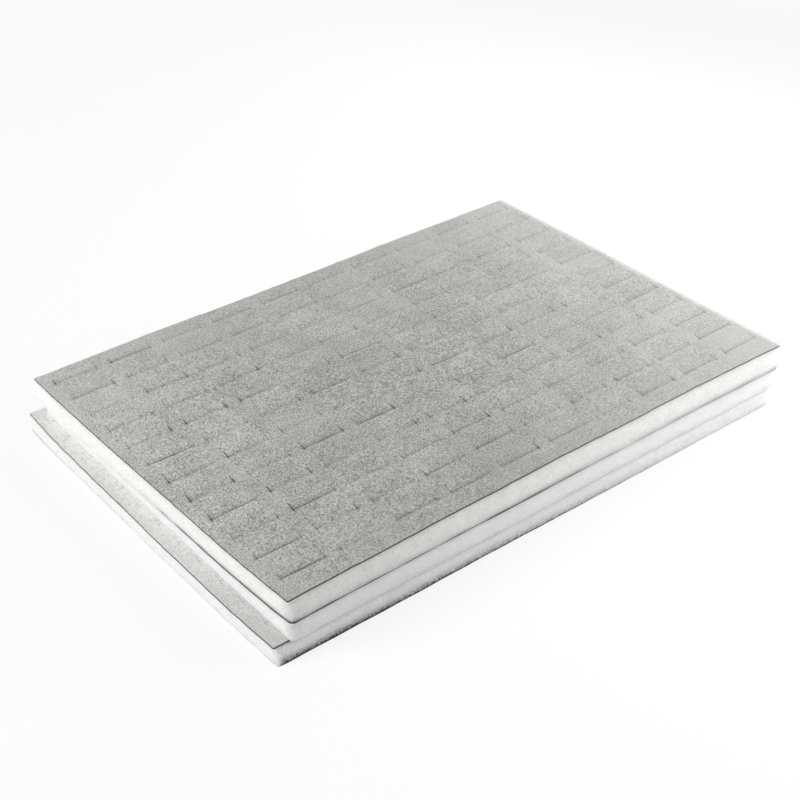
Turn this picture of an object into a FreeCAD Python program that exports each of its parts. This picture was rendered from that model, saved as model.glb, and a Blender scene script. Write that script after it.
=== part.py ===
import FreeCAD, Part
import os
import Sketcher

# A loose stack of three like display pads with rows of slits. Each pad is a foam slab faced with velvet
# over a bonding film, and a die has slit the three sheets right through as one.
# The origin is the centre of the bottom pad's underside. X runs along the pads, Y to the back, Z up.
# Lengths are in millimetres and angles in degrees.

SIZES = {
    # the sheets of one pad
    "pad_length": 340.0,
    "pad_depth": 230.0,
    "foam_thickness": 10.5,
    "film_thickness": 0.3,
    "velvet_thickness": 0.7,
    # the slits in their rows, each as wide as the cut that the die leaves
    "slit_length": 25.0,
    "slit_width": 0.4,
    "slit_gap": 8.75,
    "row_spacing": 18.5,
    # the least velvet left whole between the slits and each edge
    "left_border": 6.0,
    "right_border": 5.0,
    "front_border": 14.6,
    "back_border": 11.6,
    # how the two upper pads were laid down, from the bottom pad's centre
    "middle_shift_along": 5.7,
    "middle_shift_back": -2.4,
    "middle_turn": 0.64,
    "top_shift_along": 7.3,
    "top_shift_back": -0.1,
    "top_turn": 0.55,
}

# What follows from the sizes: the slits that fit between the borders, and the place of the first one,
# with the row of slits, and the rows themselves, centred between their borders.
PAD_THICKNESS = "(sizes.foam_thickness + sizes.film_thickness + sizes.velvet_thickness)"
COLUMN_SPACING = "(sizes.slit_length + sizes.slit_gap)"
COLUMN_ROOM = "(sizes.pad_length - sizes.left_border - sizes.right_border - sizes.slit_length)"
COLUMN_COUNT = f"(floor({COLUMN_ROOM} / {COLUMN_SPACING}) + 1)"
ROW_ROOM = "(sizes.pad_depth - sizes.front_border - sizes.back_border)"
ROW_COUNT = f"(floor({ROW_ROOM} / sizes.row_spacing) + 1)"
FIRST_ALONG = f"(sizes.left_border - sizes.right_border - ({COLUMN_COUNT} - 1) * {COLUMN_SPACING}) / 2"
FIRST_BACK = f"(sizes.front_border - sizes.back_border - ({ROW_COUNT} - 1) * sizes.row_spacing) / 2"

# The sheets of a pad from the foam up: the name, the thickness, and the height of the underside in the pad.
LAYERS = [
    ("foam", "sizes.foam_thickness", "0"),
    ("adhesive_film", "sizes.film_thickness", "sizes.foam_thickness"),
    ("velvet", "sizes.velvet_thickness", "(sizes.foam_thickness + sizes.film_thickness)"),
]

# The pads from the bottom up: the name, the shift along, the shift to the back, and the turn.
PADS = [
    ("bottom_pad", "0", "0", "0"),
    ("middle_pad", "sizes.middle_shift_along", "sizes.middle_shift_back", "sizes.middle_turn"),
    ("top_pad", "sizes.top_shift_along", "sizes.top_shift_back", "sizes.top_turn"),
]

VOLUME_SLACK = 1e-6


def size_sheet(doc):
    """The spreadsheet of driving sizes: words in column A, and the numbers, under those aliases, in column B."""
    sheet = doc.addObject("Spreadsheet::Sheet", "sizes")
    for row, (alias, value) in enumerate(SIZES.items(), start=1):
        sheet.set(f"A{row}", alias.replace("_", " "))
        sheet.set(f"B{row}", str(value))
        sheet.setAlias(f"B{row}", alias)
    doc.recompute()
    return sheet


def centred_rectangle(body, name, length, depth):
    """A sketch on the body's floor plane: a rectangle about the sketch's own origin, with bound sides."""
    sketch = body.newObject("Sketcher::SketchObject", name)
    floor = next(plane for plane in body.Origin.OriginFeatures if plane.Role == "XY_Plane")
    sketch.AttachmentSupport = [(floor, "")]
    sketch.MapMode = "FlatFace"
    corners = [FreeCAD.Vector(x, y, 0) for x, y in ((-1, -1), (1, -1), (1, 1), (-1, 1))]
    for start, end in zip(corners, corners[1:] + corners[:1]):
        sketch.addGeometry(Part.LineSegment(start, end))
    for side, way in enumerate(("Horizontal", "Vertical", "Horizontal", "Vertical")):
        sketch.addConstraint(Sketcher.Constraint("Coincident", side, 2, (side + 1) % 4, 1))
        sketch.addConstraint(Sketcher.Constraint(way, side))
    sketch.addConstraint(Sketcher.Constraint("Symmetric", 0, 1, 2, 1, -1, 1))
    for side, way, extent in ((0, "DistanceX", length), (1, "DistanceY", depth)):
        bound = sketch.addConstraint(Sketcher.Constraint(way, side, 1, side, 2, 2.0))
        sketch.setExpression(f"Constraints[{bound}]", extent)
    return sketch


def slit_sheet(doc, label, thickness):
    """One sheet of a pad: a slab with its lower face on the floor plane, and the grid of slits cut through it."""
    body = doc.addObject("PartDesign::Body", label)

    slab = body.newObject("PartDesign::Pad", f"{label}_slab")
    slab.Profile = centred_rectangle(body, f"{label}_outline", "sizes.pad_length", "sizes.pad_depth")
    slab.setExpression("Length", thickness)

    outline = centred_rectangle(body, f"{label}_slit_outline", "sizes.slit_length", "sizes.slit_width")
    outline.setExpression("AttachmentOffset.Base.x", FIRST_ALONG)
    outline.setExpression("AttachmentOffset.Base.y", FIRST_BACK)
    first_slit = body.newObject("PartDesign::Pocket", f"{label}_first_slit")
    first_slit.Profile = outline
    first_slit.Type = "ThroughAll"
    first_slit.Reversed = True

    slits = body.newObject("PartDesign::LinearPattern", f"{label}_slits")
    slits.Originals = [first_slit]
    slits.Direction = (outline, ["H_Axis"])
    slits.setExpression("Occurrences", COLUMN_COUNT)
    slits.setExpression("Length", f"({COLUMN_COUNT} - 1) * {COLUMN_SPACING}")
    slits.Direction2 = (outline, ["V_Axis"])
    slits.setExpression("Occurrences2", ROW_COUNT)
    slits.setExpression("Length2", f"({ROW_COUNT} - 1) * sizes.row_spacing")
    body.Tip = slits
    return body


def check_slits(doc, sheet, label):
    """Every slit has to have gone right through: the sheet is its slab less one slit's volume for each slit."""
    slab = doc.getObject(f"{label}_slab")
    slits = doc.getObject(f"{label}_slits")
    count = slits.Occurrences * slits.Occurrences2
    cut = count * sheet.slit_length * sheet.slit_width * slab.Length.Value
    if abs(slab.Shape.Volume - cut - slits.Shape.Volume) > VOLUME_SLACK * slab.Shape.Volume:
        raise RuntimeError(f"{label}: the slits don't all go through")


doc = FreeCAD.newDocument("slit_pads")
sheet = size_sheet(doc)

bodies = []
for level, (pad, shift_along, shift_back, turn) in enumerate(PADS):
    for layer, thickness, underside in LAYERS:
        body = slit_sheet(doc, f"{pad}_{layer}", thickness)
        body.setExpression("Placement.Base.x", shift_along)
        body.setExpression("Placement.Base.y", shift_back)
        body.setExpression("Placement.Base.z", f"{level} * {PAD_THICKNESS} + {underside}")
        body.setExpression("Placement.Rotation.Angle", turn)
        bodies.append(body)
doc.recompute()

failed = [item.Label for item in doc.Objects if {"Invalid", "Error"} & set(item.State)]
if failed:
    raise RuntimeError(f"failed to build: {failed}")
for body in bodies:
    if body.Shape.isNull() or not body.Shape.isValid():
        raise RuntimeError(f"{body.Label}: the shape isn't sound")
    check_slits(doc, sheet, body.Label)

os.makedirs("parts", exist_ok=True)
for body in bodies:
    body.Shape.exportStep(os.path.join("parts", f"{body.Label}.step"))
    box = body.Shape.BoundBox
    print(f"{body.Label}: {box.XLength:.2f} x {box.YLength:.2f} x {box.ZLength:.2f}, from z {box.ZMin:.2f}")
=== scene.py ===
import math
from types import SimpleNamespace

import bpy
import numpy as np
from mathutils import Matrix, Vector


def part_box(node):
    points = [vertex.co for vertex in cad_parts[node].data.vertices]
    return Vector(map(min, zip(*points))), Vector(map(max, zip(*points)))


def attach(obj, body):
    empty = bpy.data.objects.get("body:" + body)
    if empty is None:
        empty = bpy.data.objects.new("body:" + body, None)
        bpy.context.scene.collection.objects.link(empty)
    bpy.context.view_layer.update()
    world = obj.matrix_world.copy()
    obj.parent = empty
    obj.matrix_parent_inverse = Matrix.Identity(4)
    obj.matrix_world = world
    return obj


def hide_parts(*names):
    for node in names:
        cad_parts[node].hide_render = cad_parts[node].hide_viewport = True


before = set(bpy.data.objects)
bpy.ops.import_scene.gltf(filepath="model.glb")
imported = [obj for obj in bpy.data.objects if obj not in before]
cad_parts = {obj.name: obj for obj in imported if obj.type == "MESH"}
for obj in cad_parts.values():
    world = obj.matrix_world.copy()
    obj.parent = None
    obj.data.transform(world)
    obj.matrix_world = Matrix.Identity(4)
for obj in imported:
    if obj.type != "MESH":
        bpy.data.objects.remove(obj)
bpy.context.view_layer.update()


# The foam slabs: the body of each pad, white soft foam. A die has pressed its rules right through it, a
# long cut with a short one across each end for every slit, and a blade has cut it to size, so its sides
# lean and waver. The slabs lie loose on each other, the lowest one on the table.

# how far the short end cuts reach from the long cut, to the front and to the back
END_CUT_FRONT = 0.0024
END_CUT_BACK = 0.0052

# The foam springs back and all but closes each cut, by this much from each side, and some lips part again:
# how far on each side, the shares of the slits and of the end cuts that do, and how much one gape differs
# from the next of its kind. All that fades out over the reach. The end cuts also slant.
SLIT_CLOSING = 0.00017
SLIT_GAPES = (0.0, 0.00004, 0.00009, 0.00014)
SLIT_SHARES = (0.40, 0.36, 0.17, 0.07)
SLIT_REACH = 0.006
END_CLOSING = 0.00016
END_GAPES = (0.0, 0.00002, 0.00006, 0.00014)
END_SHARES = (0.45, 0.33, 0.15, 0.07)
END_REACH = 0.0026
END_SLANT = 0.17
GAPE_SPREAD = (0.8, 1.2)
# the slits at the left and the front gape more often, and so carry more painted shade, where the light shows
# the cuts most
SLIT_BIAS = (0.26, 0.20)
# under a pad above, the lips part less, and the end cuts along the edge that it leaves bare are pressed shut
COVERED_GAPE = 0.5
SHUT_CLOSING = 0.000195
SHUT_REACH = 0.009
# the rows sag to the front, most in the middle of the pad, and each slit strays a little from its row
ROW_SAG = 0.0011
SLIT_STRAY = 0.0004

# On a face that nothing presses down, the lips stand up by some share of their lift, the front one more,
# and the ribs between the columns of slits stand proud. The whole face swells in two long low waves, one
# that crosses the pad both ways and a lower one that runs slantwise: their lengths are along and back.
FRONT_LIP_LIFT = 0.0003
BACK_LIP_LIFT = 0.0001
LIFT_SPREAD = (0.1, 1)
LIP_WIDTH = 0.0024
RIB_RISE = 0.00018
SWELL = 0.00022
CROSSING_LENGTHS = (0.19, 0.14)
SLANTING_LENGTHS = (0.083, 0.105)
SLANTING_SHARE = 0.5

# The cut edges waver over this much of the border: in three waves of at most this height, so many to a
# side, and in a finer ripple from the blade, which climbs by so many of its lengths from foot to cloth.
EDGE_REACH = 0.014
EDGE_WAVE = 0.00012
EDGE_WAVES = (1, 2.3, 4.1)
WAVE_SPREAD = (0.3, 1)
BLADE_RIPPLE = 0.00008
RIPPLES = 13
RIPPLE_CLIMB = 1.4

# How each pad's sides run, against the straight ones of the CAD, at the cloth and at the foot, in
# millimetres: how far a side stands out at its start, at its end, and how much further in its middle. The
# sides are the left, right, front and back ones; the first two start at the front, the others at the left.
LEFT, RIGHT, FRONT, BACK = range(4)
PAD_SIDES = {
    "bottom_pad": {
        "cloth": ((0.8, -2.2, 1.9), (0, 0, 0.3), (0.8, 0.2, 0.8), (2.2, 0, 0.2)),
        "foot": ((0.2, -1.8, 1.0), (0.5, 0.5, 0), (2.8, 1.7, 0.1), (2.4, 0.4, 0)),
    },
    "middle_pad": {
        "cloth": ((-1.0, -4.2, 2.8), (-1.8, -0.8, 0), (-0.8, 0.6, -0.9), (0.4, 0.4, 0)),
        "foot": ((-0.5, -5.2, 0.8), (-1.8, -0.3, 0), (-0.9, 1.1, 0), (0.6, 0.6, 0)),
    },
    "top_pad": {
        "cloth": ((1.0, 0.1, 1.3), (0, 0, 0.3), (-0.3, -0.5, -2.0), (0, 0, 0.3)),
        "foot": ((0.8, 1.3, 1.7), (-1.6, 0.3, 0), (2.2, 3.2, -1.0), (0.3, 0.3, 0)),
    },
}
MILLIMETRE = 0.001
# a side goes from its foot's line to its cloth's by this power of the height: the lowest pad has shoulders
PAD_SHOULDERS = {"bottom_pad": 10, "middle_pad": 1, "top_pad": 1}
# the back corners have rounded by this share of the front ones
BACK_CORNERS = 0.3
# the steps in which a corner is worked out, and the gap under which two lines of the grid are one
CORNER_STEPS = 4
SAME_LINE = 0.00005


def stations(values):
    """The distinct values in rising order: a new one starts where the step from the last is wide enough."""
    ordered = np.sort(np.ravel(values))
    first = np.flatnonzero(np.diff(ordered, prepend=-np.inf) > SAME_LINE)
    return np.add.reduceat(ordered, first) / np.diff(np.append(first, len(ordered)))


def ruled(marks, step):
    """Grid lines through all the marks, each stretch between two cut into equal cells of at most a step."""
    marks = stations(marks)
    cells = np.maximum(np.ceil(np.diff(marks) / step), 1).astype(int)
    return np.interp(np.arange(cells.sum() + 1), np.append(0, cells.cumsum()), marks)


def faded(distance, reach):
    """One at no distance, falling to nought at the reach on half of a parabola."""
    return np.clip(1 - np.abs(distance) / reach, 0, 1) ** 2


def bell(distance, middle, width):
    """One at the middle, and e to the power of minus the squared distance from it, counted in widths."""
    return np.exp(-(((distance - middle) / width) ** 2))


class Pad:
    """One pad: how it lies, read from its foam in the CAD, and how its soft sheets have settled since.

    Its points are counted along (u) and back (v) from its centre, the way that its edges run.
    """

    def __init__(self, name, seed, uncovered):
        self.name = name
        self.uncovered = uncovered
        self.cloth_sides = MILLIMETRE * np.array(PAD_SIDES[name]["cloth"])
        self.foot_sides = MILLIMETRE * np.array(PAD_SIDES[name]["foot"])
        self.shoulder = PAD_SHOULDERS[name]

        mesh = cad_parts[f"{name}_foam"].data
        points = np.empty(3 * len(mesh.vertices))
        mesh.vertices.foreach_get("co", points)
        plan = points.reshape(-1, 3)[:, :2]
        total, difference = plan[:, 0] + plan[:, 1], plan[:, 0] - plan[:, 1]
        front_left, front_right, back_left = plan[[total.argmin(), difference.argmax(), difference.argmin()]]
        spans = np.stack([front_right - front_left, back_left - front_left])
        self.centre = (front_right + back_left) / 2
        self.half = np.linalg.norm(spans, axis=1) / 2
        self.axes = spans / (2 * self.half[:, None])

        local = (plan - self.centre) @ self.axes.T
        slit_corners = local[(np.abs(local) < self.half - SAME_LINE).all(1)]
        self.starts, self.ends = stations(slit_corners[:, 0]).reshape(-1, 2).T
        fronts, backs = stations(slit_corners[:, 1]).reshape(-1, 2).T
        self.rows = (fronts + backs) / 2
        self.kerf = (backs - fronts).mean()

        random = np.random.default_rng(seed)
        slits = (len(self.starts), len(self.rows))
        bias_u = SLIT_BIAS[0] * np.linspace(-1, 1, slits[0])[:, None]
        bias_v = SLIT_BIAS[1] * np.linspace(-1, 1, slits[1])
        gape_bias = 0.5 - bias_u - bias_v
        slit_draws = gape_bias + random.uniform(-0.5, 0.5, slits)
        end_draws = gape_bias + random.uniform(-0.5, 0.5, (2, *slits))
        slit_kinds = np.searchsorted(np.cumsum(SLIT_SHARES[:-1]), slit_draws)
        end_kinds = np.searchsorted(np.cumsum(END_SHARES[:-1]), end_draws)
        self.shut = np.zeros((2, *slits), bool)
        self.shut[0, 0] = not uncovered
        gape = 1 if uncovered else COVERED_GAPE
        self.slit_gapes = gape * np.array(SLIT_GAPES)[slit_kinds] * random.uniform(*GAPE_SPREAD, slits)
        end_gapes = gape * np.array(END_GAPES)[end_kinds] * random.uniform(*GAPE_SPREAD, (2, *slits))
        self.end_gapes = end_gapes * ~self.shut
        self.end_closings = np.where(self.shut, SHUT_CLOSING, END_CLOSING)
        lifts = np.array([FRONT_LIP_LIFT, BACK_LIP_LIFT])[:, None, None]
        self.lip_lifts = uncovered * lifts * random.uniform(*LIFT_SPREAD, (2, *slits))
        self.swell_phases = random.uniform(0, 1, 3)
        self.wave_heights = random.uniform(*WAVE_SPREAD, (4, 3)) * EDGE_WAVE
        self.wave_phases = random.uniform(0, 1, (4, 3))
        self.flap_shadings = random.uniform(-1, 1, (2 * slits[0] + 1, slits[1] + 1))
        sag = ROW_SAG * np.cos(np.pi / 2 * self.rows / self.half[1]) ** 2
        self.strays = SLIT_STRAY * random.uniform(-1, 1, slits) - sag

    def grid(self, step, corner, lip=0.0):
        """The lines along and back that a sheet is worked out on, and what is known of each line.

        Lines run along both sides of every cut, at a lip beside them, and in steps in from each edge as far
        as the corner's round goes, along and back. Kept are the cells that the die has left. A lens is one
        at a cut's middle and falls to nought at its ends on a parabola. A span is one all along the cut, and
        fades out beyond it.
        """
        cut_sides = np.array([-lip, 0, self.kerf, self.kerf + lip])
        rims = self.half[:, None] - np.linspace(0, 1, CORNER_STEPS + 1) * np.reshape(corner, (2, 1))
        marks_u = [self.starts[:, None] + cut_sides, self.ends[:, None] - cut_sides, rims[0], -rims[0]]
        row_marks = np.append(cut_sides - self.kerf / 2, [-END_CUT_FRONT, END_CUT_BACK])
        marks_v = [self.rows[:, None] + row_marks, rims[1], -rims[1]]
        u = ruled(np.concatenate([marks.ravel() for marks in marks_u]), step)
        v = ruled(np.concatenate([marks.ravel() for marks in marks_v]), step)

        cell_u, cell_v = (u[1:, None] + u[:-1, None]) / 2, (v[1:, None] + v[:-1, None]) / 2
        in_slit = (cell_u > self.starts) & (cell_u < self.ends)
        at_end = in_slit & ((cell_u < self.starts + self.kerf) | (cell_u > self.ends - self.kerf))
        on_row = np.abs(cell_v - self.rows) < self.kerf / 2
        by_row = (cell_v > self.rows - END_CUT_FRONT) & (cell_v < self.rows + END_CUT_BACK)
        cut = np.outer(in_slit.any(1), on_row.any(1)) | np.outer(at_end.any(1), by_row.any(1))

        middles, half_slit = (self.starts + self.ends) / 2, (self.ends - self.starts).mean() / 2
        column = np.abs(u[:, None] - middles).argmin(1)
        row = np.abs(v[:, None] - self.rows).argmin(1)
        from_middle, from_row = u - middles[column], v - self.rows[row]
        from_slit = np.maximum(np.abs(from_middle) - half_slit, 0)
        end = (from_middle > 0).astype(int)
        from_end = from_middle - (2 * end - 1) * (half_slit - self.kerf / 2)
        from_end_middle = from_row - (END_CUT_BACK - END_CUT_FRONT) / 2
        half_end = (END_CUT_BACK + END_CUT_FRONT) / 2
        return SimpleNamespace(
            u=u,
            v=v,
            corner=corner,
            kept=~cut,
            column=column[:, None],
            row=row,
            end=end[:, None],
            lip=(from_row > 0).astype(int),
            from_row=from_row,
            from_end=from_end[:, None],
            from_slit=from_slit[:, None],
            along_slit=np.clip(from_middle / half_slit, -1, 1)[:, None],
            slit_lens=np.clip(1 - (from_middle / half_slit) ** 2, 0, 1)[:, None],
            slit_span=faded(from_slit, END_REACH)[:, None],
            end_lens=np.clip(1 - (from_end_middle / half_end) ** 2, 0, 1),
            end_span=faded(np.maximum(np.abs(from_end_middle) - half_end, 0), END_REACH),
        )

    def edge(self, side, way, share):
        """How far a side stands out along its way from 0 to 1, at a share of the foam's height.

        A straight line from start to end, a flat bow between them (one less a fourth power), three waves of
        uneven length, and a ripple that climbs slantwise. Start, end and bow go from the foot's to those of
        the cloth by the shoulder's power of the share.
        """
        foot, cloth = self.foot_sides[side], self.cloth_sides[side]
        start, end, bow = foot + (cloth - foot) * share**self.shoulder
        turns = np.outer(way, EDGE_WAVES) + self.wave_phases[side]
        waves = np.sin(2 * np.pi * turns) @ self.wave_heights[side]
        ripple = BLADE_RIPPLE * np.sin(2 * np.pi * (RIPPLES * way + RIPPLE_CLIMB * share))
        return start + (end - start) * way + bow * (1 - (2 * way - 1) ** 4) + waves + ripple

    def settled(self, grid, height, share=1.0, tuck=0.0, rounded=1.0):
        """Where a sheet's points have gone, in the frame: at a height, and at a share of the foam's height.

        Square corners go round, all or in part, by the map of a square on a disc, and the back ones less.
        Lips move to their cut by the closing times its span, and off it by the gape times its lens and the
        share, both fading over the reach, and end cuts do the same. A slit moves back by its stray, and end
        cuts slant. Edges move out by their side's offset less the tuck, fading inwards. Points rise by the
        lips' lift, a bell across the slit, by the ribs' cosine between two columns, and by the swell, all
        times the share.
        """
        corner_u, corner_v = grid.corner
        inner_u, inner_v = self.half - grid.corner
        over_u = np.maximum(np.abs(grid.u) - inner_u, 0) / corner_u
        over_v = np.maximum(np.abs(grid.v) - inner_v, 0) / corner_v
        disc_u = np.outer(over_u, np.sqrt(1 - over_v**2 / 2))
        disc_v = np.outer(np.sqrt(1 - over_u**2 / 2), over_v)
        round_u = np.minimum(np.abs(grid.u), inner_u)[:, None] + corner_u * disc_u
        round_v = np.minimum(np.abs(grid.v), inner_v) + corner_v * disc_v
        rounded = rounded * np.where(grid.v > 0, BACK_CORNERS, 1)
        at_u = grid.u[:, None] + rounded * (np.sign(grid.u)[:, None] * round_u - grid.u[:, None])
        at_v = grid.v + rounded * (np.sign(grid.v) * round_v - grid.v)

        slit, end_cut = (grid.column, grid.row), (grid.end, grid.column, grid.row)
        slit_parting = share * self.slit_gapes[slit] * grid.slit_lens - SLIT_CLOSING * grid.slit_span
        end_closing = self.end_closings[end_cut] * grid.end_span
        end_parting = share * self.end_gapes[end_cut] * grid.end_lens - end_closing
        stray = self.strays[slit] * grid.slit_span
        at_v += (slit_parting * np.sign(grid.from_row) + stray) * faded(grid.from_row, SLIT_REACH)
        slant = END_SLANT * grid.from_row * grid.end_span
        at_u += (end_parting * np.sign(grid.from_end) + slant) * faded(grid.from_end, END_REACH)

        way_u, way_v = grid.u / (2 * self.half[0]) + 0.5, grid.v / (2 * self.half[1]) + 0.5
        left, right = self.edge(LEFT, way_v, share) - tuck, self.edge(RIGHT, way_v, share) - tuck
        front, back = self.edge(FRONT, way_u, share) - tuck, self.edge(BACK, way_u, share) - tuck
        at_u += np.outer(faded(grid.u - self.half[0], EDGE_REACH), right)
        at_u -= np.outer(faded(grid.u + self.half[0], EDGE_REACH), left)
        at_v += np.outer(back, faded(grid.v - self.half[1], EDGE_REACH))
        at_v -= np.outer(front, faded(grid.v + self.half[1], EDGE_REACH))

        lips = self.lip_lifts[grid.lip, *slit] * grid.slit_lens * bell(grid.from_row, 0, LIP_WIDTH)
        rib_half = (self.starts[1:] - self.ends[:-1]).mean() / 2
        rib = RIB_RISE * (1 - np.cos(np.pi * np.clip(grid.from_slit / rib_half, 0, 1))) / 2
        first, second, third = self.swell_phases
        wave_u = np.sin(2 * np.pi * (grid.u / CROSSING_LENGTHS[0] + first))
        wave_v = np.sin(2 * np.pi * (grid.v / CROSSING_LENGTHS[1] + second))
        slantwise = np.add.outer(grid.u / SLANTING_LENGTHS[0], grid.v / SLANTING_LENGTHS[1])
        slanting = np.sin(2 * np.pi * (slantwise + third))
        swell = SWELL * (np.outer(wave_u, wave_v) + SLANTING_SHARE * slanting)
        rise = lips + self.uncovered * (rib + swell)
        place = self.centre + np.stack([at_u, at_v], -1) @ self.axes
        return np.dstack([place, height + share * rise])


# faces that meet at more than this angle meet in a sharp edge
SHARP_ANGLE = math.radians(40)


def slit_mesh(name, levels, kept):
    """A closed mesh of a sheet with its cuts, from a grid of points at each level of its thickness.

    The highest and lowest grids, less the cells that are cut away, are its two faces. Wherever a kept cell
    borders on none, a wall goes up through the levels. Gives also the number of the grid point behind each
    vertex.
    """
    index = np.arange(levels[..., 0].size).reshape(levels.shape[:3])
    under, over = index[:-1], index[1:]
    around = np.pad(kept, 1)
    kept_u, kept_v = around[:, 1:-1], around[1:-1, :]
    face = np.stack([index[:, :-1, :-1], index[:, 1:, :-1], index[:, 1:, 1:], index[:, :-1, 1:]], -1)
    wall_u = np.stack([under[:, :, :-1], under[:, :, 1:], over[:, :, 1:], over[:, :, :-1]], -1)
    wall_v = np.stack([under[:, 1:, :], under[:, :-1, :], over[:, :-1, :], over[:, 1:, :]], -1)
    walls = [
        wall_u[:, kept_u[:-1] & ~kept_u[1:]],
        wall_u[:, ~kept_u[:-1] & kept_u[1:]][..., ::-1],
        wall_v[:, kept_v[:, :-1] & ~kept_v[:, 1:]],
        wall_v[:, ~kept_v[:, :-1] & kept_v[:, 1:]][..., ::-1],
    ]
    walls = np.concatenate([wall.reshape(-1, 4) for wall in walls])
    faces = np.concatenate([face[-1][kept], face[0][kept][:, ::-1], walls])
    used, faces = np.unique(faces, return_inverse=True)
    faces = faces.reshape(-1, 4)

    mesh = bpy.data.meshes.new(name)
    mesh.vertices.add(len(used))
    mesh.vertices.foreach_set("co", levels.reshape(-1, 3)[used].ravel())
    mesh.loops.add(faces.size)
    mesh.loops.foreach_set("vertex_index", faces.ravel())
    mesh.polygons.add(len(faces))
    mesh.polygons.foreach_set("loop_start", np.arange(0, faces.size, 4))
    mesh.update(calc_edges=True)
    mesh.shade_smooth()
    mesh.set_sharp_from_angle(angle=SHARP_ANGLE)
    cut = mesh.attributes.new("cut", "FLOAT", "FACE")
    cut.data.foreach_set("value", np.repeat([0.0, 1.0], [2 * kept.sum(), len(walls)]))
    return mesh, used


class Wire:
    """A node's output that takes part in sums: an operator adds its Math node, and node() any other."""

    def __init__(self, socket):
        self.socket = socket

    def node(self, kind, settings, sockets, output):
        """Adds a node of that kind to this tree: its settings first, then each socket's value or link."""
        made = self.socket.id_data.nodes.new(kind)
        for name, value in settings.items():
            setattr(made, name, value)
        for name, value in sockets.items():
            socket = next(s for n, s in enumerate(made.inputs) if name in (n, s.identifier, s.name))
            if isinstance(value, Wire):
                value.feed(socket)
            else:
                socket.default_value = value
        return Wire(next(s for s in made.outputs if output in (s.identifier, s.name)))

    def feed(self, socket):
        """Links this wire to a node's input."""
        self.socket.id_data.links.new(self.socket, socket)

    def maths(self, operation, first, second):
        """The result of a Math node on two wires or numbers."""
        return self.node("ShaderNodeMath", {"operation": operation}, {0: first, 1: second}, "Value")

    def __add__(self, other):
        return self.maths("ADD", self, other)

    def __sub__(self, other):
        return self.maths("SUBTRACT", self, other)

    def __rsub__(self, other):
        return self.maths("SUBTRACT", other, self)

    def __mul__(self, other):
        return self.maths("MULTIPLY", self, other)

    __radd__ = __add__
    __rmul__ = __mul__


def new_finish(name, constants):
    """A material, its object coordinates as a wire, and its shader with what is the same all over it set."""
    material = bpy.data.materials.new(name)
    material.use_nodes = True
    nodes = material.node_tree.nodes
    shader = nodes["Principled BSDF"]
    for socket, value in constants.items():
        shader.inputs[socket].default_value = value
    return material, Wire(nodes.new("ShaderNodeTexCoord").outputs["Object"]), shader


def noise(place, scale, detail=2.0, roughness=0.5):
    """Soft random values about a half, with so many grains to the metre as the scale says."""
    sockets = {"Vector": place, "Scale": scale, "Detail": detail, "Roughness": roughness}
    return place.node("ShaderNodeTexNoise", {}, sockets, "Fac")


def tinted(place, share, first, second, blend="MIX"):
    """The first colour going over by the share into the second, or into the two blended otherwise."""
    sockets = {"Factor_Float": share, "A_Color": first, "B_Color": second}
    return place.node("ShaderNodeMix", {"data_type": "RGBA", "blend_type": blend}, sockets, "Result_Color")


def stretched(place, scale, turn=0.0):
    """The coordinates turned about the vertical and stretched, so that a pattern on them runs in streaks."""
    sockets = {"Vector": place, "Scale": scale, "Rotation": (0, 0, turn)}
    return place.node("ShaderNodeMapping", {"vector_type": "TEXTURE"}, sockets, "Vector")


def coordinate(place, axis):
    """How far each point lies along (X), back (Y) or up (Z), in metres."""
    return place.node("ShaderNodeSeparateXYZ", {}, {"Vector": place}, axis)


def rising(value, start, full):
    """Nought up to the start, one from where it is full, and a straight line between them."""
    slope = 1 / (full - start)
    return value.node("ShaderNodeClamp", {}, {"Value": slope * value - slope * start}, "Result")


FOAM_WHITE = (0.985, 0.985, 0.968, 1)
FOAM_SHADE = (0.685, 0.685, 0.672, 1)
FOAM_FOOT_SHADE = (0.05, 0.05, 0.05, 1)
FOAM_YELLOW = (1.0, 0.998, 0.970, 1)
# how many cells, lumps and level saw marks go to the metre, how much each shades, and where that sets in
FOAM_CELLS = 1000
FOAM_LUMPS = 140
SAW_MARKS = 55
SAW_STRETCH = (1, 1, 0.03)
CELL_SHADE = 0.62
LUMP_SHADE = 0.62
SAW_SHADE = 0.3
SHADE_START = 0.43
# The top pad, which lies in the light, has yellowed a little, and the one under it is painted the whitest,
# as painted light against the shade under the top pad's overhang: the heights where each begins, and how
# much less shade the middle one has.
MIDDLE_FOOT = (0.0108, 0.0118)
TOP_FOOT = (0.0225, 0.0235)
MIDDLE_PAINTED_LIGHT = 0.18
# The front foot is darkened by painted shade where the stack meets the table, more so to the left but not at
# the corner. The painted shade is full in a line at the foot, and thins out in specks above it, by a
# parabola. The left foot has such a painted shadow line at its back end. The first of two places is where
# the painted shade sets in, and the second where it is full.
FRONT_SIDE = (-0.104, -0.112)
FOOT_SHADE_TO_LEFT = (0.1205, -0.1359)
FOOT_SHADE_FROM_CORNER = (-0.16875, -0.16625)
FOOT_SHADE_HEIGHTS = (0.00752, 0)
FOOT_LINE = (0.0013, 0.0003)
LEFT_SIDE = (-0.166, -0.167)
LEFT_BACK_END = (0.068, 0.108)
FOOT_SHADE_SPECKS = 900
SPECK_SHADE = 5.4
SPECK_START = 1.3

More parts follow.
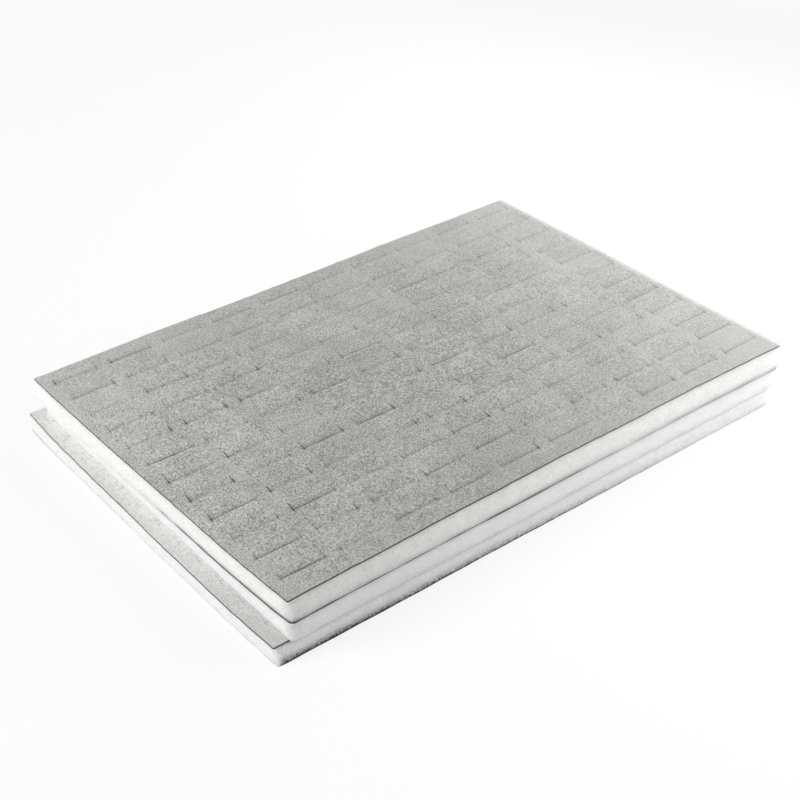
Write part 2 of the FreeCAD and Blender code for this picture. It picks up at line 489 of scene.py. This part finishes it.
foam_constants = {
    "Subsurface Weight": 0.8,
    "Subsurface Radius": (0.008, 0.008, 0.0075),
    "Subsurface Scale": 1.0,
    "Specular IOR Level": 0.25,
}
foam_finish, place, shader = new_finish("white_foam", foam_constants)
along, back, up = (coordinate(place, axis) for axis in "XYZ")
cell_sockets = {"Vector": place, "Scale": FOAM_CELLS}
cells = place.node("ShaderNodeTexVoronoi", {"feature": "F1"}, cell_sockets, "Distance")
saw_marks = noise(stretched(place, SAW_STRETCH), SAW_MARKS, detail=3)
lumps = noise(place, FOAM_LUMPS, detail=3)
mottle = CELL_SHADE * cells + LUMP_SHADE * lumps + SAW_SHADE * saw_marks - SHADE_START
yellowed = rising(up, *TOP_FOOT)
# the middle pad's foam is painted lighter: painted light for the shade of the overhang above it
middle_lit = rising(up, *MIDDLE_FOOT) - yellowed
white_foam = tinted(place, mottle - MIDDLE_PAINTED_LIGHT * middle_lit, FOAM_WHITE, FOAM_SHADE)
on_front = rising(back, *FRONT_SIDE) * rising(along, *FOOT_SHADE_TO_LEFT) * rising(along, *FOOT_SHADE_FROM_CORNER)
on_left = rising(along, *LEFT_SIDE) * rising(back, *LEFT_BACK_END)
near_foot = rising(up, *FOOT_SHADE_HEIGHTS)
foot_line = rising(up, *FOOT_LINE)
specks = SPECK_SHADE * noise(place, FOOT_SHADE_SPECKS, roughness=0.7) - SPECK_START
# painted contact shade at the feet: along the front foot, and in a line at the back end of the left one
painted_foot_shade = on_front * (near_foot * near_foot * specks + foot_line) + on_left * foot_line
foot_shaded_foam = tinted(place, painted_foot_shade, white_foam, FOAM_FOOT_SHADE)
tinted(place, yellowed, foot_shaded_foam, FOAM_YELLOW, "MULTIPLY").feed(shader.inputs["Base Color"])
foam_roughness = 0.66 + 0.25 * cells
foam_roughness.feed(shader.inputs["Roughness"])
foam_bump = {"Strength": 0.45, "Distance": 0.0005, "Height": 0.5 * cells + 0.8 * lumps + 0.7 * saw_marks}
place.node("ShaderNodeBump", {}, foam_bump, "Normal").feed(shader.inputs["Normal"])

FOAM_STEP = 0.003
# the levels that a side is worked out at, as shares of its height, and how far the foot's round tucks them
FOAM_LEVELS = (0, 0.03, 0.08, 0.17, 0.3, 0.5, 0.7, 0.84, 0.94, 1)
FOOT_TUCKS = (1, 0.43, 0.15, 0, 0, 0, 0, 0, 0, 0)
FOOT_ROUNDS = {"bottom_pad": 0.0003, "middle_pad": 0.0002, "top_pad": 0.0002}
# The upright corners have rounded: how far back from the front they do half way up, how much further along
# it, and how much of that is left at these shares of the height.
FOAM_CORNERS = {"bottom_pad": 0.0050, "middle_pad": 0.0065, "top_pad": 0.0065}
CORNER_STRETCH = 1.3
CORNER_SHARES = (0, 0.3, 0.7, 1)
CORNER_ROUNDS = (0.3, 1, 1, 0.1)

pads = [
    Pad("bottom_pad", seed=11, uncovered=0),
    Pad("middle_pad", seed=23, uncovered=0),
    Pad("top_pad", seed=37, uncovered=1),
]
for pad in pads:
    node = f"{pad.name}_foam"
    low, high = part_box(node)
    grid = pad.grid(FOAM_STEP, FOAM_CORNERS[pad.name] * np.array([CORNER_STRETCH, 1]))
    levels = []
    for share, tuck in zip(FOAM_LEVELS, FOOT_TUCKS):
        height = low.z + share * (high.z - low.z)
        rounded = np.interp(share, CORNER_SHARES, CORNER_ROUNDS)
        levels.append(pad.settled(grid, height, share, tuck * FOOT_ROUNDS[pad.name], rounded))
    mesh, _ = slit_mesh(f"{pad.name}_foam_slab", np.stack(levels), grid.kept)
    mesh.materials.append(foam_finish)
    slab = bpy.data.objects.new(mesh.name, mesh)
    bpy.context.scene.collection.objects.link(slab)
    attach(slab, pad.name)
    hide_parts(node)


# The bonding films: a thin dark sheet of hot-melt glue between the foam and the cloth of each pad. It was
# pressed on before the die and the blade went through, so it shows only as a dark line along the cut edges,
# painted paler along the front to the right as painted light.

FILM_STEP = 0.006
# how much the film's and the cloth's upright corners have rounded
CLOTH_CORNERS = {"bottom_pad": 0.0008, "middle_pad": 0.0028, "top_pad": 0.0008}
FILM_DARK = (0.045, 0.045, 0.046, 1)
FILM_GREY = (0.125, 0.125, 0.126, 1)
FILM_SMEARS = 420
FILM_PITS = 1500
# Along the front the film's and the cloth's cut edges are painted paler to the right, the more the lower the
# pad:
# painted light, following the light that grows to the right and lifting the shade along the lower joints.
# Where that sets in, and where it is full.
PAINTED_LIGHT_EDGE = (0.80, 0.80, 0.79, 1)
EDGE_LIGHT_TO_RIGHT = (-0.03, 0.0609)
EDGE_LIGHT_HEIGHTS = (0.0365, 0.0099)


def painted_edge_light(place):
    """How much the cut edges are painted paler, as painted light: the product of rises to the front, right
    and down.
    """
    in_front = rising(coordinate(place, "Y"), *FRONT_SIDE)
    to_right = rising(coordinate(place, "X"), *EDGE_LIGHT_TO_RIGHT)
    return to_right * in_front * rising(coordinate(place, "Z"), *EDGE_LIGHT_HEIGHTS)


film_finish, place, shader = new_finish("dark_bonding_film", {"Specular IOR Level": 0.3})
smears = noise(place, FILM_SMEARS, detail=3)
glue = tinted(place, smears, FILM_DARK, FILM_GREY)
# the film's front edge is painted paler to the right and lower down: painted light
tinted(place, painted_edge_light(place), glue, PAINTED_LIGHT_EDGE).feed(shader.inputs["Base Color"])
film_roughness = 0.42 + 0.3 * smears
film_roughness.feed(shader.inputs["Roughness"])
film_bump = {"Strength": 0.3, "Distance": 0.0002, "Height": noise(place, FILM_PITS)}
place.node("ShaderNodeBump", {}, film_bump, "Normal").feed(shader.inputs["Normal"])

for pad in pads:
    node = f"{pad.name}_adhesive_film"
    low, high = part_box(node)
    grid = pad.grid(FILM_STEP, CLOTH_CORNERS[pad.name] * np.ones(2))
    levels = [pad.settled(grid, height) for height in (low.z, high.z)]
    mesh, _ = slit_mesh(f"{pad.name}_film_layer", np.stack(levels), grid.kept)
    mesh.materials.append(film_finish)
    film = bpy.data.objects.new(mesh.name, mesh)
    bpy.context.scene.collection.objects.link(film)
    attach(film, pad.name)
    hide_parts(node)


# The velvet faces: light grey short-pile cloth, glued pile up on the film and cut through with it. The pile
# parts along the slits, with painted shade in the crease, lies this way and that in soft patches, carries
# painted light and shade beside the cuts and over the flaps, and rounds off at every cut edge.

VELVET_STEP = 0.002
VELVET_LIP = 0.0005
PILE_ROUND = 0.00014
PILE_RELIEF = 0.00005
PILE_SEED = 50
VELVET_LIGHT = (0.800, 0.798, 0.783, 1)
VELVET_DEEP = (0.180, 0.179, 0.162, 1)
VELVET_CUT = (0.055, 0.055, 0.053, 1)
# How light the nap is painted, from the deep tone (0) to the light one (1), mostly painted light and shade:
# the lower pads' bare strips lighter, as painted light from the white foam beside them, and the top lighter
# at its ends and darker in its middle, partly pressed pile and partly painted shadow of the rings that lie
# there. And how loose it is, which lets it stray further from that tone: in a pad's middle, and what is
# added for the way along (-1 at the left end to 1 at the right one), for its square, for the way back (-1 to
# 1), for its square, and for the ways' product.
PAD_NAP_AND_LIGHT = {
    "bottom_pad": (0.905, 0, 0, 0.1448, -0.11765, 0),
    "middle_pad": (0.50, 0, 0, 0.08, -0.065, 0),
    "top_pad": (0.288, 0.006, 0.163, 0.025, 0.025, -0.045),
}
PAD_LOFTS = {
    "bottom_pad": (0.85, 0, 0, 0.2975, 0, 0),
    "middle_pad": (0.85, 0, 0, 0.2975, 0, 0),
    "top_pad": (1.02, -0.22, 0, 0, -0.35, 0),
}
# how many of each kind of mark on the nap go to the metre, and how far each lets it stray
GRAINS = 920
GRAIN_STRAY = 1.25
STRANDS = 1700
STRAND_STRAY = 0.85
STRAND_STRETCH = (1, 2.4, 1)
STRAND_TURN = math.radians(-18)
PATCHES = 95
PATCH_STRAY = 0.24
DRIFTS = 24
DRIFT_STRAY = 0.2
# How much lighter or darker the nap is painted from one flap to the next, as painted light and shade for
# flaps that tilt a little, and in the fringe along the right end, which starts this far in and is full after
# its rise.
FLAP_SHADING = 0.025
FRINGE_NAP = 0.28
FRINGE_START = 0.00288
FRINGE_RISE = 0.0009
# Painted light and shade beside the cuts, for the raised lips and ribs that catch the light, less to the
# pad's
# right: a painted light bell in front of a slit, stronger to the slit's right, a darker one of painted shade
# behind it, and a painted light one at the left of an end cut: each one's middle, from the cut, and its
# width.
CUT_LIGHT = 0.035
CUT_LIGHT_FALL = 0.5
FRONT_LIGHT_BELL = (-0.0022, 0.0013)
FRONT_LIGHT_RISE = 0.4
BACK_SHADE_BELL = (0.0016, 0.0012)
BACK_SHADE_SHARE = 0.5
LEFT_LIGHT_BELL = (-0.0018, 0.0012)
LEFT_LIGHT_SHARE = 0.7
# The pile is parted, and dark, beside a cut: partly the dark base showing through, and partly painted shade
# in the crease, which trails wider behind a slit. Over what width in front of a slit, behind it and beside
# an end cut, how much for each of the gapes above, and how deep the darkest is. It is less towards a slit's
# right end.
# Along an end cut there is a little of it, and more about the slit, most so at its right end.
FRONT_PARTING = 0.00025
BACK_PARTING_SHADE = 0.0009
END_PARTING = 0.0005
SLIT_PARTINGS = (0.30, 0.46, 0.64, 0.78)
END_PARTINGS = (0.08, 0.30, 0.80, 1.0)
PARTING_SHADE_DEPTH = 0.6
SLIT_MEAN = 0.8
SLIT_FALL = 0.2
END_FAR = 0.25
END_NEAR = 0.75
RIGHT_END_NEAR = 0.35

velvet_constants = {
    "Sheen Weight": 0.25,
    "Sheen Roughness": 0.45,
    "Sheen Tint": (0.95, 0.95, 0.92, 1),
    "Specular IOR Level": 0.15,
}
velvet_finish, place, shader = new_finish("grey_velvet", velvet_constants)
attributes = {
    name: place.node("ShaderNodeAttribute", {"attribute_name": name}, {}, "Fac")
    for name in ("nap", "loft", "parting_and_shade", "cut")
}
grain = noise(place, GRAINS, roughness=0.7)
strands = noise(stretched(place, STRAND_STRETCH, STRAND_TURN), STRANDS, detail=1)
patches = noise(place, PATCHES, detail=3)
drifts = noise(place, DRIFTS)
fine_stray = GRAIN_STRAY * (grain - 0.5) + STRAND_STRAY * (strands - 0.5)
broad_stray = PATCH_STRAY * (patches - 0.5) + DRIFT_STRAY * (drifts - 0.5)
tone = attributes["nap"] + attributes["loft"] * (fine_stray + broad_stray)
pile = tinted(place, tone, VELVET_DEEP, VELVET_LIGHT)
parted_shaded_pile = tinted(place, PARTING_SHADE_DEPTH * attributes["parting_and_shade"], pile, VELVET_CUT)
# the cloth's cut edge is painted paler in the same way: painted light
cut_edge = tinted(place, painted_edge_light(place), VELVET_CUT, PAINTED_LIGHT_EDGE)
tinted(place, attributes["cut"], parted_shaded_pile, cut_edge).feed(shader.inputs["Base Color"])
velvet_roughness = 0.82 + 0.15 * grain
velvet_roughness.feed(shader.inputs["Roughness"])
velvet_bump = {"Strength": 0.6, "Distance": 0.0004, "Height": 0.6 * grain + 0.4 * strands + 0.5 * patches}
place.node("ShaderNodeBump", {}, velvet_bump, "Normal").feed(shader.inputs["Normal"])


def drifted(shares, way_u, way_v):
    """A value over a pad: the sum of its shares of one, each way, its square, and the two ways' product."""
    terms = (1, way_u, way_u**2, way_v, way_v**2, way_u * way_v)
    return sum(share * term for share, term in zip(shares, terms))


for number, pad in enumerate(pads):
    node = f"{pad.name}_velvet"
    low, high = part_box(node)
    grid = pad.grid(VELVET_STEP, CLOTH_CORNERS[pad.name] * np.ones(2), VELVET_LIP)
    slit, end_cut = (grid.column, grid.row), (grid.end, grid.column, grid.row)
    back_face, pile_face = pad.settled(grid, low.z), pad.settled(grid, high.z)
    # the pile is lower along every cut, where fewer than four kept cells meet, and its relief only goes down
    around = np.pad(grid.kept, 1).astype(int)
    whole = around[:-1, :-1] + around[1:, :-1] + around[:-1, 1:] + around[1:, 1:] == 4
    relief = np.random.default_rng(PILE_SEED + number).uniform(0, PILE_RELIEF, whole.shape)
    pile_face[..., 2] -= np.where(whole, relief, PILE_ROUND if pad.uncovered else PILE_RELIEF)
    mesh, used = slit_mesh(f"{pad.name}_velvet_face", np.stack([back_face, pile_face]), grid.kept)

    # the dark along a cut is part dark base and part painted shade in the crease
    # the parting falls off from the lips of a cut by e to the power of minus the distance in widths
    parted_width = np.where(grid.from_row > 0, BACK_PARTING_SHADE, FRONT_PARTING)
    beside_slit = np.exp(-np.maximum(np.abs(grid.from_row) - pad.kerf / 2, 0) / parted_width)
    beside_end = np.exp(-np.maximum(np.abs(grid.from_end) - pad.kerf / 2, 0) / END_PARTING)
    along_end = END_FAR + (END_NEAR + RIGHT_END_NEAR * grid.end) * bell(grid.from_row, 0, 2 * END_PARTING)
    along_slit = grid.slit_span * (SLIT_MEAN - SLIT_FALL * grid.along_slit)
    slit_parting = np.interp(pad.slit_gapes[slit], SLIT_GAPES, SLIT_PARTINGS) * along_slit * beside_slit
    end_share = np.interp(pad.end_gapes[end_cut], END_GAPES, END_PARTINGS)
    end_parting = end_share * np.sqrt(grid.end_lens) * along_end * beside_end
    shut = pad.shut[end_cut]
    bared = 1 - shut * faded(grid.from_end, SHUT_REACH)
    parting_and_shade = slit_parting * bared + end_parting * ~shut

    # painted light in front of each slit and at the left of each end cut, and painted shade behind each slit
    front_light = bell(grid.from_row, *FRONT_LIGHT_BELL) * (1 + FRONT_LIGHT_RISE * grid.along_slit)
    slit_light_and_shade = (front_light - BACK_SHADE_SHARE * bell(grid.from_row, *BACK_SHADE_BELL)) * grid.slit_span
    end_light = LEFT_LIGHT_SHARE * bell(grid.from_end, *LEFT_LIGHT_BELL) * grid.end_span * ~shut
    cut_light_and_shade = bared * (slit_light_and_shade + end_light)
    # a flap is what lies between two rows of slits and two lines of end cuts, and each is painted its own
    # tone, painted light and shade for its tilt
    flap_u = np.searchsorted(np.sort(np.append(pad.starts, pad.ends)), grid.u)
    flaps = pad.flap_shadings[flap_u[:, None], np.searchsorted(pad.rows, grid.v)]
    fringe = np.clip((grid.u - pad.half[0] + FRINGE_START) / FRINGE_RISE, 0, 1)[:, None]
    way_u, way_v = grid.u[:, None] / pad.half[0], grid.v / pad.half[1]
    # the nap's tone over the pad is mostly painted light and shade, with the flaps, the fringe and the cuts'
    # light added
    nap = drifted(PAD_NAP_AND_LIGHT[pad.name], way_u, way_v) + FLAP_SHADING * flaps + FRINGE_NAP * fringe
    nap += CUT_LIGHT * (1 - CUT_LIGHT_FALL * way_u) * cut_light_and_shade
    loft = drifted(PAD_LOFTS[pad.name], way_u, way_v)
    for attribute, values in (("parting_and_shade", parting_and_shade), ("nap", nap), ("loft", loft)):
        both_faces = np.broadcast_to(values, (2, *values.shape)).ravel()[used]
        mesh.attributes.new(attribute, "FLOAT", "POINT").data.foreach_set("value", both_faces)
    mesh.materials.append(velvet_finish)
    velvet = bpy.data.objects.new(mesh.name, mesh)
    bpy.context.scene.collection.objects.link(velvet)
    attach(velvet, pad.name)
    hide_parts(node)


# The floor and the world: a plain pale table top and a white surround. What the camera sees of both is
# white, and the floor keeps the stack's shadow. What lights the stack from them is a plain grey.

FLOOR_REACH = 6.0
FLOOR_DROP = 0.0002
FLOOR_GREY = (0.80, 0.80, 0.80, 1)
FLOOR_PALE = (0.95, 0.95, 0.95, 1)
# how much of the shadow shows, and how far off it has faded out to plain white, and is full
FLOOR_SHADOW = 0.18
SHADOW_REACH = (1.143, 0.4286)
WORLD_LIGHT = 0.30
WHITE = (1, 1, 1, 1)

floor_corners = FLOOR_REACH * np.array([(-1, -1, 0), (1, -1, 0), (1, 1, 0), (-1, 1, 0)])
floor_mesh = bpy.data.meshes.new("floor")
floor_mesh.from_pydata(floor_corners - (0, 0, FLOOR_DROP), [], [(0, 1, 2, 3)])
floor = bpy.data.objects.new("floor", floor_mesh)
bpy.context.scene.collection.objects.link(floor)


def seen_straight(tree):
    """One for rays from the camera, a mirror or a glass, and nought for those that light the stack."""
    rays = tree.nodes.new("ShaderNodeLightPath").outputs
    return Wire(rays["Is Camera Ray"]) + Wire(rays["Is Glossy Ray"]) + Wire(rays["Is Transmission Ray"])


floor_finish = bpy.data.materials.new("pale_table")
floor_finish.use_nodes = True
floor_finish.node_tree.nodes.clear()
straight = seen_straight(floor_finish.node_tree)
plain = straight.node("ShaderNodeBsdfDiffuse", {}, {"Color": FLOOR_GREY}, "BSDF")
pale = straight.node("ShaderNodeBsdfDiffuse", {}, {"Color": FLOOR_PALE}, "BSDF")
white_floor = straight.node("ShaderNodeEmission", {}, {"Color": WHITE, "Strength": 1.0}, "Emission")
place = straight.node("ShaderNodeTexCoord", {}, {}, "Object")
distance = place.node("ShaderNodeVectorMath", {"operation": "LENGTH"}, {0: place}, "Value")
shadow = FLOOR_SHADOW * rising(distance, *SHADOW_REACH)
shadowed = straight.node("ShaderNodeMixShader", {}, {0: shadow, 1: white_floor, 2: pale}, "Shader")
floor_look = straight.node("ShaderNodeMixShader", {}, {0: straight, 1: plain, 2: shadowed}, "Shader")
floor_look.feed(floor_finish.node_tree.nodes.new("ShaderNodeOutputMaterial").inputs["Surface"])
floor_mesh.materials.append(floor_finish)

world = bpy.data.worlds.new("white_surround")
world.use_nodes = True
world.node_tree.nodes.clear()
straight = seen_straight(world.node_tree)
dim = straight.node("ShaderNodeBackground", {}, {"Color": WHITE, "Strength": WORLD_LIGHT}, "Background")
white_world = straight.node("ShaderNodeBackground", {}, {"Color": WHITE, "Strength": 1.0}, "Background")
world_look = straight.node("ShaderNodeMixShader", {}, {0: straight, 1: dim, 2: white_world}, "Shader")
world_look.feed(world.node_tree.nodes.new("ShaderNodeOutputWorld").inputs["Surface"])
bpy.context.scene.world = world


# The lamps: three soft boxes. The largest light comes from the back left, on to the left sides and the top,
# and the two near ones at the right let the front sides and the cloth grow lighter towards that end.

LAMPS = {
    "left_soft_box": {"at": (-1.50, 0.45, 0.86), "side": 0.70, "watts": 21.0},
    "right_front_soft_box": {"at": (0.32, -0.32, 0.32), "side": 0.45, "watts": 1.84},
    "right_back_soft_box": {"at": (0.39, 0.23, 0.32), "side": 0.45, "watts": 1.0},
}
for name, lamp in LAMPS.items():
    light = bpy.data.lights.new(name, "AREA")
    light.size = lamp["side"]
    light.energy = lamp["watts"]
    box = bpy.data.objects.new(name, light)
    box.location = lamp["at"]
    box.rotation_euler = (-Vector(lamp["at"])).to_track_quat("-Z", "Y").to_euler()
    box.visible_camera = False
    bpy.context.scene.collection.objects.link(box)


# The camera, from the photograph's corner: the front edges run to the right of the picture, and the left
# ones to the left. It leans by less than a degree.

CAMERA_AZIMUTH = math.radians(-39.64)
CAMERA_ELEVATION = math.radians(34.03)
CAMERA_LEAN = math.radians(0.81)
CAMERA_DISTANCE = 0.81004
CAMERA_TARGET = Vector((-0.02347, -0.02409, 0.03471))
CAMERA_LENS = 69.27
CAMERA_SENSOR = 36.0
CAMERA_NEAR = 0.01

level = math.cos(CAMERA_ELEVATION)
outward = Vector(
    (math.sin(CAMERA_AZIMUTH) * level, -math.cos(CAMERA_AZIMUTH) * level, math.sin(CAMERA_ELEVATION))
)
rightward = Vector((0, 0, 1)).cross(outward).normalized()
upward = outward.cross(rightward)
picture_right = rightward * math.cos(CAMERA_LEAN) + upward * math.sin(CAMERA_LEAN)
picture_up = upward * math.cos(CAMERA_LEAN) - rightward * math.sin(CAMERA_LEAN)
turn = Matrix((picture_right, picture_up, outward)).transposed().to_4x4()
lens = bpy.data.cameras.new("camera")
lens.lens = CAMERA_LENS
lens.sensor_width = CAMERA_SENSOR
lens.clip_start = CAMERA_NEAR
camera = bpy.data.objects.new("camera", lens)
camera.matrix_world = Matrix.Translation(CAMERA_TARGET + outward * CAMERA_DISTANCE) @ turn
bpy.context.scene.collection.objects.link(camera)
bpy.context.scene.camera = camera
bpy.context.scene.view_settings.view_transform = "Standard"
